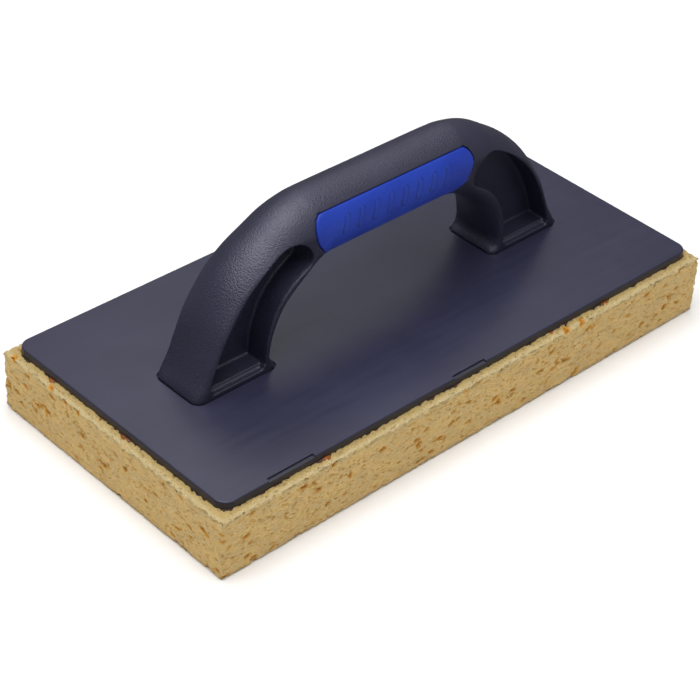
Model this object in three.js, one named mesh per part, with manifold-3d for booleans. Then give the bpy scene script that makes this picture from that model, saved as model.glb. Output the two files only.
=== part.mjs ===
// Sponge grout float: a foam pad glued under a moulded plate, with a bow handle screwed on from below.
//
// Millimetres. +X runs along the float, +Y across it and +Z up. The origin is the middle of the pad's
// working face, so the pad rests on z = 0. The handle is the same on both sides of x = 0 and of y = 0.

import Module from 'manifold-3d';
import * as THREE from 'three';
import { mergeVertices } from 'three/addons/utils/BufferGeometryUtils.js';

const wasm = await Module();
wasm.setup();

// Gap left between two pieces that are cut to fit each other
const GAP = 0.3;

// Corners closer together than this are the same corner
const MERGE_TOLERANCE = 1e-4;

// Foam pad
const PAD_LENGTH = 280;
const PAD_WIDTH = 140;
const PAD_TOP = 28.5;

// Film of contact glue
const GLUE_TOP = 29;
const GLUE_CORNER = 6;

// Backing plate
const PLATE_MARGIN = 4;
const PLATE_LENGTH = PAD_LENGTH - 2 * PLATE_MARGIN;
const PLATE_WIDTH = PAD_WIDTH - 2 * PLATE_MARGIN;
const PLATE_TOP = 33;
const PLATE_CORNER = 6;
const NOTCHES = [
  { from: -113, to: -89.3 },
  { from: -12.5, to: 6 },
];
const NOTCH_REACH = 1.9;
const NOTCH_DROP = 0.7;

// Feet of the handle, and the pockets in the plate that they stand in
const FOOT_OUTER_X = 106;
const FOOT_INNER_X = 62.5;
const FOOT_HALF_WIDTH = 14;
const FOOT_OUTER_CORNER = 4.5;
const FOOT_INNER_CORNER = 3.5;
const FOOT_PRISM_TOP = 46;
const POCKET_DEPTH = 0.8;
const FOOT_BOTTOM = PLATE_TOP - POCKET_DEPTH + GAP;

// Bow of the handle. Each station is a cut through half of the bow, from its middle to its foot: a point on
// the outer line, a point on the inner line, half the width, and how broad the crown is on each side.
// A crown as broad as the width is a half circle, and a much broader one is nearly flat.
const STATIONS = [
  { outer: [0, 102], inner: [0, 71.4], half: 15, outerCrown: 15.05, innerCrown: 15.05 },
  { outer: [36, 102], inner: [29, 71.4], half: 15, outerCrown: 15.05, innerCrown: 15.05 },
  { outer: [46, 101.1], inner: [34, 71.2], half: 15, outerCrown: 15.2, innerCrown: 15.3 },
  { outer: [55.8, 98.2], inner: [39.5, 70.2], half: 14.7, outerCrown: 15.7, innerCrown: 16.6 },
  { outer: [65.5, 92.5], inner: [46, 67.2], half: 14.4, outerCrown: 16.6, innerCrown: 18.2 },
  { outer: [75.4, 85.8], inner: [52, 62.7], half: 14.1, outerCrown: 18.2, innerCrown: 19 },
  { outer: [84.2, 77.3], inner: [57, 57.3], half: 14, outerCrown: 20.2, innerCrown: 19.3 },
  { outer: [91.4, 65.8], inner: [61.5, 49.5], half: 14, outerCrown: 24.5, innerCrown: 20.7 },
  { outer: [96.9, 51.5], inner: [64.2, 42.3], half: 14, outerCrown: 38, innerCrown: 24 },
  { outer: [101.2, 41.8], inner: [64.8, 38], half: 14, outerCrown: 46, innerCrown: 30 },
  { outer: [104.7, 35.6], inner: [63.4, 34.9], half: 14, outerCrown: 82, innerCrown: 46 },
  {
    outer: [FOOT_OUTER_X, FOOT_BOTTOM],
    inner: [FOOT_INNER_X, FOOT_BOTTOM],
    half: FOOT_HALF_WIDTH,
    outerCrown: 150,
    innerCrown: 150,
  },
];
const BOW_STEPS_ALONG = 40;
const BOW_STEPS_ACROSS = 10;
const BOW_STEPS_DEEP = 2;
const LEAST_CROWN = 1.003;

// Recess on each side of each leg, which leaves a thin web between the two flanges
const WEB_HALF = 2.3;
const RECESS_FLOOR = 36.5;
const RECESS_INNER_FOOT_X = 69.8;
const RECESS_OUTER_FOOT_X = 98.6;
const RECESS_OUTER_LINE = [
  [96.4, 44.2],
  [92.1, 54.4],
  [85.8, 65.5],
  [80.2, 72.9],
  [72.5, 80.2],
  [66.2, 84.8],
];
const RECESS_END_LINE = [[59.3, 88.2], [53.8, 88.8], [48.8, 85.8], [45.8, 80.6], [46.8, 76.6]];
const RECESS_INNER_LINE = [
  [50.4, 74],
  [54.8, 71],
  [59.2, 67.2],
  [62.9, 62.6],
  [65.7, 57.4],
  [67.6, 52.3],
  [69, 46.5],
];
const LEDGE_HEIGHT = 35;
const LEDGE_INNER_Y = 11;
const LEDGE_INSET = 0.8;

// Soft grip: a sleeve let into the grip bar, open at the top
const GRIP_THICKNESS = 2.2;
const GRIP_TOP = 96.6;
const GRIP_TOP_HALF = 38.8;
const GRIP_BULGE_HALF = 44.4;
const GRIP_BULGE_Z = 90;
const GRIP_ROUNDING = 3.5;
const GRIP_RISE = 7;
const GRIP_UNDER_HALF = 36;
const GRIP_UNDER_Z = 74.5;
const GRIP_FLARE_X = 2;
const GRIP_FLARE_Z = 5;
const GRIP_CUT_BOTTOM = 60;

// Countersunk screws
const SCREW_INNER_X = 69;
const SCREW_OUTER_X = 100.2;
const SCREW_RADIUS = 1.75;
const SCREW_LENGTH = 12;
const SCREW_POINT = 3.5;
const HEAD_RADIUS = 3.5;
const HEAD_RIM = 0.4;
const HEAD_HEIGHT = 2.2;
const HEAD_BOTTOM = GLUE_TOP + GAP;
const DRIVE_SPAN = 3.6;
const DRIVE_WIDTH = 0.9;
const DRIVE_DEPTH = 1.2;
const THREAD_RISE = 0.35;
const THREAD_PITCH = 1.3;
const SCREW_SIDES = 16;

// Spare length that lets a cutter run clear of what it cuts
const CLEAR = 5;
const CURVE_STEPS = 6;

/** A closed geometry as a solid that can be joined and cut. */
function toSolid(geometry) {
  geometry.deleteAttribute('normal');
  geometry.deleteAttribute('uv');
  const merged = mergeVertices(geometry, MERGE_TOLERANCE);
  const vertProperties = Float32Array.from(merged.attributes.position.array);
  const triVerts = Uint32Array.from(merged.index.array);
  return new wasm.Manifold(new wasm.Mesh({ numProp: 3, vertProperties, triVerts }));
}

/** A solid as a geometry. */
function toGeometry(solid) {
  const mesh = solid.getMesh();
  const geometry = new THREE.BufferGeometry();
  geometry.setAttribute('position', new THREE.BufferAttribute(mesh.vertProperties, 3));
  geometry.setIndex(new THREE.BufferAttribute(mesh.triVerts, 1));
  geometry.computeVertexNormals();
  return geometry;
}

/** A box between two corners. */
function block(low, high) {
  const size = high.map((value, axis) => value - low[axis]);
  const geometry = new THREE.BoxGeometry(...size);
  geometry.translate(...high.map((value, axis) => (value + low[axis]) / 2));
  return toSolid(geometry);
}

/** An outline in plan, drawn upwards from one height to another. */
function prismUp(outline, low, high) {
  const geometry = new THREE.ExtrudeGeometry(outline, {
    depth: high - low,
    bevelEnabled: false,
    curveSegments: CURVE_STEPS,
  });
  geometry.translate(0, 0, low);
  return toSolid(geometry);
}

/** An outline seen from the front, in x and z, drawn across the float from one y to another. */
function prismAcross(outline, low, high) {
  const geometry = new THREE.ExtrudeGeometry(outline, {
    depth: high - low,
    bevelEnabled: false,
    curveSegments: CURVE_STEPS,
  });
  geometry.rotateX(Math.PI / 2);
  geometry.translate(0, high, 0);
  return toSolid(geometry);
}

/** A rectangle with one corner radius on its left side and one on its right. */
function roundedRectangle(left, right, halfWidth, leftCorner, rightCorner) {
  const outline = new THREE.Shape();
  outline.moveTo(left + leftCorner, -halfWidth);
  outline.lineTo(right - rightCorner, -halfWidth);
  outline.absarc(right - rightCorner, -halfWidth + rightCorner, rightCorner, -Math.PI / 2, 0);
  outline.lineTo(right, halfWidth - rightCorner);
  outline.absarc(right - rightCorner, halfWidth - rightCorner, rightCorner, 0, Math.PI / 2);
  outline.lineTo(left + leftCorner, halfWidth);
  outline.absarc(left + leftCorner, halfWidth - leftCorner, leftCorner, Math.PI / 2, Math.PI);
  outline.lineTo(left, -halfWidth + leftCorner);
  outline.absarc(left + leftCorner, -halfWidth + leftCorner, leftCorner, Math.PI, 1.5 * Math.PI);
  return outline;
}

/** The outline of one foot, grown by an even margin. Side is 1 on the right and -1 on the left. */
function footOutline(side, grow) {
  const outerX = FOOT_OUTER_X + grow;
  const innerX = FOOT_INNER_X - grow;
  const outerCorner = FOOT_OUTER_CORNER + grow;
  const innerCorner = FOOT_INNER_CORNER + grow;
  const half = FOOT_HALF_WIDTH + grow;
  if (side > 0) {
    return roundedRectangle(innerX, outerX, half, innerCorner, outerCorner);
  }
  return roundedRectangle(-outerX, -innerX, half, outerCorner, innerCorner);
}

/** A smooth number or point along the half bow, from the values at its stations. */
function alongStations(pick) {
  const curve = new THREE.SplineCurve(STATIONS.map((station) => new THREE.Vector2(...pick(station))));
  return (share) => curve.getPoint(share);
}

const outerLine = alongStations((station) => station.outer);
const innerLine = alongStations((station) => station.inner);
const crowns = alongStations((station) => [station.outerCrown, station.innerCrown]);
const halfWidths = alongStations((station) => [station.half, 0]);

/** A subdivided box, from -1 to 1 each way, bent into the bow with its surface moved inwards by an inset. */
function bow(inset) {
  const geometry = new THREE.BoxGeometry(2, 2, 2, BOW_STEPS_ACROSS, BOW_STEPS_DEEP, BOW_STEPS_ALONG);
  const position = geometry.attributes.position;
  for (let index = 0; index < position.count; index += 1) {
    const across = Math.sin(position.getX(index) * Math.PI / 2);
    const deep = position.getY(index);
    const along = position.getZ(index);
    const share = Math.abs(along);
    const outer = outerLine(share);
    const inner = innerLine(share);
    const middle = outer.clone().add(inner).multiplyScalar(0.5);
    const reach = outer.clone().sub(middle);
    reach.setLength(reach.length() - inset);
    const half = halfWidths(share).x;
    const broad = deep > 0 ? crowns(share).x : crowns(share).y;
    const crown = Math.max(broad, half * LEAST_CROWN);
    const height = deep * Math.sqrt(1 - (half * across / crown) ** 2);
    const place = middle.addScaledVector(reach, height);
    position.setXYZ(index, Math.sign(along) * place.x, (half - inset) * across, place.y);
  }
  return toSolid(geometry);
}

/** The outline of the recess in one leg, seen from the front. */
function recessOutline(side) {
  const points = (list) => list.map(([x, z]) => new THREE.Vector2(side * x, z));
  const outline = new THREE.Shape();
  outline.moveTo(side * RECESS_INNER_FOOT_X, RECESS_FLOOR);
  outline.lineTo(side * RECESS_OUTER_FOOT_X, RECESS_FLOOR);
  outline.splineThru(points([...RECESS_OUTER_LINE, ...RECESS_END_LINE, ...RECESS_INNER_LINE,
    [RECESS_INNER_FOOT_X, RECESS_FLOOR]]));
  return outline;
}

/** The recesses in both sides of one leg, with the low ledge along each foot. */
function legRecesses(side) {
  const reach = FOOT_HALF_WIDTH + CLEAR;
  const [nearX, farX] = [RECESS_INNER_FOOT_X + LEDGE_INSET, RECESS_OUTER_FOOT_X - LEDGE_INSET]
    .map((x) => side * x)
    .sort((a, b) => a - b);
  const front = prismAcross(recessOutline(side), -reach, -WEB_HALF);
  const back = prismAcross(recessOutline(side), WEB_HALF, reach);
  const frontLedge = block([nearX, -reach, LEDGE_HEIGHT], [farX, -LEDGE_INNER_Y, RECESS_FLOOR + GAP]);
  const backLedge = block([nearX, LEDGE_INNER_Y, LEDGE_HEIGHT], [farX, reach, RECESS_FLOOR + GAP]);
  return front.add(back).add(frontLedge).add(backLedge);
}

/** The part of the bar that the soft grip takes, seen from the front and grown by an even margin. */
function gripZone(grow) {
  const top = GRIP_TOP + grow;
  const topHalf = GRIP_TOP_HALF + grow;
  const bulge = GRIP_BULGE_HALF + grow;
  const under = GRIP_UNDER_HALF + grow;
  const flare = under + GRIP_FLARE_X;
  const flareZ = GRIP_UNDER_Z + GRIP_FLARE_Z;
  const belowBulge = GRIP_BULGE_Z - GRIP_RISE;
  const aboveBulge = GRIP_BULGE_Z + GRIP_ROUNDING;
  const shoulder = topHalf + GRIP_ROUNDING;
  const outline = new THREE.Shape();
  outline.moveTo(-under, GRIP_CUT_BOTTOM);
  outline.lineTo(under, GRIP_CUT_BOTTOM);
  outline.lineTo(under, GRIP_UNDER_Z);
  outline.bezierCurveTo(flare, flareZ, bulge, belowBulge, bulge, GRIP_BULGE_Z);
  outline.bezierCurveTo(bulge, aboveBulge, shoulder, top, topHalf, top);
  outline.lineTo(-topHalf, top);
  outline.bezierCurveTo(-shoulder, top, -bulge, aboveBulge, -bulge, GRIP_BULGE_Z);
  outline.bezierCurveTo(-bulge, belowBulge, -flare, flareZ, -under, GRIP_UNDER_Z);
  outline.lineTo(-under, GRIP_CUT_BOTTOM);
  const reach = STATIONS[0].half + CLEAR;
  return prismAcross(outline, -reach, reach);
}

/** A screw standing on its head at the origin, grown by an even margin for its hole. */
function screwBody(grow) {
  const radius = SCREW_RADIUS + grow;
  const headRadius = HEAD_RADIUS + grow;
  const tip = SCREW_LENGTH + grow;
  const shankTop = SCREW_LENGTH - SCREW_POINT;
  const profile = [[0, -grow], [headRadius, -grow], [headRadius, HEAD_RIM], [radius, HEAD_HEIGHT]];
  if (grow === 0) {
    for (let z = HEAD_HEIGHT + THREAD_PITCH; z < shankTop; z += THREAD_PITCH) {
      profile.push([radius - THREAD_RISE, z - THREAD_PITCH / 2], [radius, z]);
    }
  }
  profile.push([radius, shankTop], [grow, tip], [0, tip]);
  const points = profile
    .filter(([x, z], index) => index === 0 || x !== profile[index - 1][0] || z !== profile[index - 1][1])
    .map(([x, z]) => new THREE.Vector2(x, z));
  const geometry = new THREE.LatheGeometry(points, SCREW_SIDES);
  geometry.rotateX(Math.PI / 2);
  return toSolid(geometry);
}

/** A screw with the cross-shaped drive in its head. */
function screwSolid() {
  const long = DRIVE_SPAN / 2;
  const short = DRIVE_WIDTH / 2;
  const bar = block([-long, -short, -CLEAR], [long, short, DRIVE_DEPTH]);
  const crossBar = block([-short, -long, -CLEAR], [short, long, DRIVE_DEPTH]);
  return screwBody(0).subtract(bar.add(crossBar));
}

const SCREWS = [
  { name: 'screw_left_outer', x: -SCREW_OUTER_X },
  { name: 'screw_left_inner', x: -SCREW_INNER_X },
  { name: 'screw_right_inner', x: SCREW_INNER_X },
  { name: 'screw_right_outer', x: SCREW_OUTER_X },
];

/** The holes that all the screws need. */
function screwHoles() {
  const hole = screwBody(GAP);
  return SCREWS
    .map(({ x }) => hole.translate([x, 0, HEAD_BOTTOM]))
    .reduce((holes, next) => holes.add(next));
}

/** The foam pad. */
function makePad() {
  return block([-PAD_LENGTH / 2, -PAD_WIDTH / 2, 0], [PAD_LENGTH / 2, PAD_WIDTH / 2, PAD_TOP]);
}

/** The film of glue, which reaches the plate's edge all round. */
function makeGlue() {
  const half = PLATE_LENGTH / 2;
  const outline = roundedRectangle(-half, half, PLATE_WIDTH / 2, GLUE_CORNER, GLUE_CORNER);
  return prismUp(outline, PAD_TOP, GLUE_TOP);
}

/** The backing plate, with its foot pockets, screw holes and the small steps in its front edge. */
function makePlate() {
  const half = PLATE_LENGTH / 2;
  const front = -PLATE_WIDTH / 2;
  const outline = roundedRectangle(-half, half, PLATE_WIDTH / 2, PLATE_CORNER, PLATE_CORNER);
  let plate = prismUp(outline, GLUE_TOP, PLATE_TOP);
  for (const side of [-1, 1]) {
    const pocket = prismUp(footOutline(side, GAP), PLATE_TOP - POCKET_DEPTH, PLATE_TOP + CLEAR);
    plate = plate.subtract(pocket);
  }
  for (const { from, to } of NOTCHES) {
    const low = [from, front - CLEAR, PLATE_TOP - NOTCH_DROP];
    const high = [to, front + NOTCH_REACH, PLATE_TOP + CLEAR];
    plate = plate.subtract(block(low, high));
  }
  const mouths = screwHoles().translate([0, 0, -GAP]);
  return plate.subtract(screwHoles()).subtract(mouths);
}

/** The bow handle in hard plastic, cut back where the soft grip is let in. */
function makeHandle() {
  const half = FOOT_OUTER_X + CLEAR;
  let room = block([-half, -half, FOOT_PRISM_TOP], [half, half, STATIONS[0].outer[1] + CLEAR]);
  for (const side of [-1, 1]) {
    room = room.add(prismUp(footOutline(side, 0), FOOT_BOTTOM, FOOT_PRISM_TOP));
  }
  let handle = bow(0).intersect(room);
  for (const side of [-1, 1]) {
    handle = handle.subtract(legRecesses(side));
  }
  const sleeve = gripZone(GAP).subtract(bow(GRIP_THICKNESS + GAP));
  return handle.subtract(sleeve).subtract(screwHoles());
}

/** The soft grip. */
function makeGrip() {
  return bow(0).intersect(gripZone(0)).subtract(bow(GRIP_THICKNESS));
}

const blackPlastic = new THREE.MeshStandardMaterial({ color: 0x2a2a30, roughness: 0.55, metalness: 0 });
const greyPlastic = new THREE.MeshStandardMaterial({ color: 0x4c4d5c, roughness: 0.35, metalness: 0 });
const softBlue = new THREE.MeshStandardMaterial({ color: 0x2440a8, roughness: 0.5, metalness: 0 });
const foam = new THREE.MeshStandardMaterial({ color: 0xd9b56b, roughness: 0.95, metalness: 0 });
const glue = new THREE.MeshStandardMaterial({ color: 0x3a2415, roughness: 0.4, metalness: 0 });
const steel = new THREE.MeshStandardMaterial({ color: 0xa9abad, roughness: 0.35, metalness: 1 });

/** Adds a solid to the float as a named sub-part. */
function addPart(group, name, solid, material) {
  const mesh = new THREE.Mesh(toGeometry(solid), material);
  mesh.name = name;
  group.add(mesh);
  return mesh;
}

const float = new THREE.Group();
addPart(float, 'sponge_pad', makePad(), foam);
addPart(float, 'adhesive_layer', makeGlue(), glue);
addPart(float, 'base_plate', makePlate(), greyPlastic);
addPart(float, 'handle_frame', makeHandle(), blackPlastic);
addPart(float, 'soft_grip', makeGrip(), softBlue);
for (const { name, x } of SCREWS) {
  addPart(float, name, screwSolid(), steel).position.set(x, 0, HEAD_BOTTOM);
}

export default float;
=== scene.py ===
"""Looks of a sponge grout float: a foam pad glued under a moulded plate, with a bow handle and a soft grip.

Sizes in the classes are millimetres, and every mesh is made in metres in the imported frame: +X runs along
the float, +Y across it and +Z up, from the middle of the pad's working face.
"""

import logging
import math
import random
from contextlib import contextmanager
from dataclasses import astuple, dataclass
from enum import Enum
from typing import Any, Callable, Iterable, Iterator, Optional, Sequence, Union

import bmesh
import bpy
from mathutils import Matrix, Vector, noise
from mathutils.geometry import interpolate_bezier
from mathutils.kdtree import KDTree


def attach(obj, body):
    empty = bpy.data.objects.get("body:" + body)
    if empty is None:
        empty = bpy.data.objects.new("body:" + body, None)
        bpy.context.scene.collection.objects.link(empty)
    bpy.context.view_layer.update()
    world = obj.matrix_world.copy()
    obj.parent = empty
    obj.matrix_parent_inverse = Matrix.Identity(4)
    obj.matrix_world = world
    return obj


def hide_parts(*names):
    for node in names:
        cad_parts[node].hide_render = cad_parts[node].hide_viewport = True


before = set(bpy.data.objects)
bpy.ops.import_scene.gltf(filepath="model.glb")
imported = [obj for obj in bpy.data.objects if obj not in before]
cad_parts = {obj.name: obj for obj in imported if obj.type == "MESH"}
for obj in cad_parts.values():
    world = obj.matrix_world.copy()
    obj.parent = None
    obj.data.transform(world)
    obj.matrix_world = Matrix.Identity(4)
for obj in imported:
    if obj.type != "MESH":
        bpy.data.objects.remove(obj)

LOG = logging.getLogger("grout_float")
MM = 0.001
BODY = "root"
TRIANGLE_LIMIT = 190_000
SHINE = "Specular IOR Level"
PLASTIC_IOR = 1.5

# Tolerances and sizes that several pieces share, in millimetres.
MERGE = 0.0001
NEAR = 0.001
OVERLAP = 0.01
GAP = 0.3
PAD_LENGTH = 280.0
PAD_WIDTH = 140.0
PAD_TOP = 28.5
PLATE_LENGTH = 272.0
PLATE_WIDTH = 132.0
PLATE_CORNER = 6.0
PLATE_BOTTOM = 29.0
PLATE_TOP = 33.0
GRIP_THICKNESS = 2.2
SCREW_PLACES = (-100.2, -69.0, 69.0, 100.2)
SCREW_HOLE = 2.05
HOLE_SIDES = 20
LEAST_UPRIGHT = 0.9

Point = tuple[float, float]
Triple = tuple[float, float, float]
Colour = Triple
Shape = bmesh.types.BMesh
Edge = bmesh.types.BMEdge
Solid = bpy.types.Object
Socket = bpy.types.NodeSocket
Material = bpy.types.Material


class Join(Enum):
    """How one solid is joined to another."""

    CUT = "DIFFERENCE"
    KEEP_COMMON = "INTERSECT"


class Side(Enum):
    """A side of the float, along X for the legs or along Y for the faces of a leg."""

    NEGATIVE = -1
    POSITIVE = 1


# ---------------------------------------------------------------------------------------------- finishes


class Number:
    """A number socket of a shader that takes part in ordinary arithmetic."""

    def __init__(self, recipe: "Recipe", socket: Socket) -> None:
        """Keeps the socket and the recipe it belongs to."""
        self.recipe = recipe
        self.socket = socket

    def worked(self, operation: str, first: Any, second: Any) -> "Number":
        """Adds a Math node.

        Args:
            operation: the Math node's operation.
            first: a number, or a socket wrapped as a Number.
            second: a number, or a socket wrapped as a Number.

        Returns:
            The result of the node.
        """
        made = self.recipe.node("ShaderNodeMath", {"operation": operation}, {0: first, 1: second})
        return Number(self.recipe, made.outputs[0])

    def __add__(self, other: Any) -> "Number":
        """This plus the other."""
        return self.worked("ADD", self, other)

    def __radd__(self, other: Any) -> "Number":
        """The other plus this."""
        return self.worked("ADD", other, self)

    def __sub__(self, other: Any) -> "Number":
        """This less the other."""
        return self.worked("SUBTRACT", self, other)

    def __rsub__(self, other: Any) -> "Number":
        """The other less this."""
        return self.worked("SUBTRACT", other, self)

    def __mul__(self, other: Any) -> "Number":
        """This times the other."""
        return self.worked("MULTIPLY", self, other)

    def __abs__(self) -> "Number":
        """This without its sign."""
        return self.worked("ABSOLUTE", self, 0.0)

    def most(self, other: Any) -> "Number":
        """The larger of this and the other."""
        return self.worked("MAXIMUM", self, other)

    def ramp(self, low: float, high: float) -> "Number":
        """Rises smoothly from 0 to 1.

        Args:
            low: the value that gives 0.
            high: the value that gives 1, which may be below low.

        Returns:
            The smooth step between them.
        """
        if low > high:
            return 1 - self.ramp(high, low)
        made = self.recipe.node(
            "ShaderNodeMapRange",
            {"interpolation_type": "SMOOTHSTEP", "clamp": True},
            {"Value": self, "From Min": low, "From Max": high, "To Min": 0.0, "To Max": 1.0},
        )
        return Number(self.recipe, made.outputs[0])


Amount = Union[float, Number]


class Recipe:
    """The node tree of one finish."""

    def __init__(self, name: str) -> None:
        """Starts an empty material.

        Args:
            name: the material's name.
        """
        self.material = bpy.data.materials.new(name)
        self.material.use_nodes = True
        self.tree = self.material.node_tree
        self.tree.nodes.clear()

    def node(
        self,
        kind: str,
        settings: Optional[dict[str, Any]] = None,
        values: Optional[dict[Union[str, int], Any]] = None,
    ) -> bpy.types.Node:
        """Adds any node.

        Args:
            kind: the node's type.
            settings: its own settings, which are set first.
            values: what its sockets hold, as plain values, sockets or Numbers.

        Returns:
            The new node.
        """
        made = self.tree.nodes.new(kind)
        for name, value in (settings or {}).items():
            setattr(made, name, value)
        for key, value in (values or {}).items():
            source = value.socket if isinstance(value, Number) else value
            if isinstance(source, Socket):
                self.tree.links.new(source, made.inputs[key])
            else:
                made.inputs[key].default_value = source
        return made

    def place(
        self,
        stretch: Triple = (1.0, 1.0, 1.0),
        turn: Triple = (0.0, 0.0, 0.0),
    ) -> Socket:
        """Object coordinates in metres, turned and stretched.

        Args:
            stretch: the scale along each axis, where more makes a pattern finer.
            turn: the rotation in degrees.

        Returns:
            A vector socket.
        """
        position = self.node("ShaderNodeTexCoord").outputs["Object"]
        angles = tuple(math.radians(angle) for angle in turn)
        made = self.node(
            "ShaderNodeMapping",
            {"vector_type": "POINT"},
            {"Vector": position, "Scale": stretch, "Rotation": angles},
        )
        return made.outputs[0]

    def axes(self) -> tuple[Number, Number, Number]:
        """Object coordinates in metres as three Numbers."""
        position = self.node("ShaderNodeTexCoord").outputs["Object"]
        parts = self.node("ShaderNodeSeparateXYZ", None, {0: position}).outputs
        return Number(self, parts[0]), Number(self, parts[1]), Number(self, parts[2])

    def attribute(self, name: str) -> Number:
        """A number stored on the mesh's points."""
        made = self.node("ShaderNodeAttribute", {"attribute_name": name, "attribute_type": "GEOMETRY"})
        return Number(self, made.outputs["Fac"])

    def cloud(
        self,
        size: float,
        detail: float = 2.0,
        rough: float = 0.5,
        where: Optional[Socket] = None,
    ) -> Number:
        """Noise from 0 to 1.

        Args:
            size: the size of its patches, in millimetres.
            detail: how many finer layers it has.
            rough: how strong those layers are.
            where: the coordinates, or None for plain object coordinates.

        Returns:
            The noise.
        """
        made = self.node(
            "ShaderNodeTexNoise",
            {"noise_dimensions": "3D"},
            {
                "Vector": where or self.place(),
                "Scale": 1.0 / (size * MM),
                "Detail": detail,
                "Roughness": rough,
            },
        )
        return Number(self, made.outputs[0])

    def cells(self, size: float, where: Optional[Socket] = None) -> Number:
        """Distance from the nearest middle in a cell pattern.

        Args:
            size: the size of a cell, in millimetres.
            where: the coordinates, or None for plain object coordinates.

        Returns:
            The distance.
        """
        made = self.node(
            "ShaderNodeTexVoronoi",
            {"voronoi_dimensions": "3D", "feature": "F1"},
            {"Vector": where or self.place(), "Scale": 1.0 / (size * MM)},
        )
        return Number(self, made.outputs["Distance"])

    def mixed(self, base: Any, *layers: tuple[Any, Amount]) -> Socket:
        """Lays colours over each other.

        Args:
            base: the lowest colour, as three numbers or a socket.
            layers: each further colour, with how much of it there is.

        Returns:
            The colour socket.
        """
        for colour, share in layers:
            under, over = ((*c, 1.0) if isinstance(c, tuple) else c for c in (base, colour))
            settings = {"data_type": "RGBA", "clamp_factor": True}
            base = self.node("ShaderNodeMix", settings, {0: share, 6: under, 7: over}).outputs[2]
        return base

    def raised(self, *layers: tuple[Number, float, float]) -> Socket:
        """Relief from heights that lie over each other.

        Args:
            layers: each height from 0 to 1, what its 1 stands for in millimetres, and its strength.

        Returns:
            The normal socket.
        """
        under: dict[Union[str, int], Any] = {}
        for height, depth, strength in layers:
            values = {"Height": height, "Distance": depth * MM, "Strength": strength, **under}
            under = {"Normal": self.node("ShaderNodeBump", None, values).outputs[0]}
        return under["Normal"]

    def finished(self, constants: dict[str, Any], **varying: Any) -> Material:
        """Adds the surface shader and closes the recipe.

        Args:
            constants: values that are the same all over, by socket name.
            varying: base, roughness or normal, as sockets or Numbers.

        Returns:
            The material.
        """
        sockets = {"base": "Base Color", "roughness": "Roughness", "normal": "Normal"}
        values = dict(constants)
        values.update({sockets[name]: value for name, value in varying.items()})
        surface = self.node("ShaderNodeBsdfPrincipled", None, values)
        self.node("ShaderNodeOutputMaterial", None, {0: surface.outputs[0]})
        return self.material


@dataclass(frozen=True)
class GrainedPlastic:
    """Charcoal moulded plastic with a fine spark-eroded grain."""

    dark: Colour = (0.0130, 0.0125, 0.0300)
    light: Colour = (0.021, 0.020, 0.046)
    sheen: Colour = (0.86, 0.86, 1.0)
    gloss: float = 0.44
    shine: float = 0.92
    grain: float = 0.75
    grain_depth: float = 0.2

    def made(self) -> Material:
        """The handle's material."""
        recipe = Recipe("grained_plastic")
        pits = recipe.cells(self.grain)
        fine = recipe.cloud(self.grain * 0.55, 2.0, 0.6)
        drift = recipe.cloud(26.0, 3.0, 0.55)
        rubbed = recipe.cloud(9.0, 4.0, 0.6).ramp(0.55, 0.8)
        relief = pits * 0.6 + fine * 0.7
        shade = drift.ramp(0.3, 0.7) * 0.6 + relief.ramp(0.35, 0.95) * 0.4
        return recipe.finished(
            {"IOR": PLASTIC_IOR, SHINE: self.shine, "Specular Tint": (*self.sheen, 1.0)},
            base=recipe.mixed(self.dark, (self.light, shade)),
            roughness=self.gloss + (fine - 0.5) * 0.12 + (drift - 0.5) * 0.08 - rubbed * 0.05,
            normal=recipe.raised((relief, self.grain_depth, 1.0)),
        )


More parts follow.
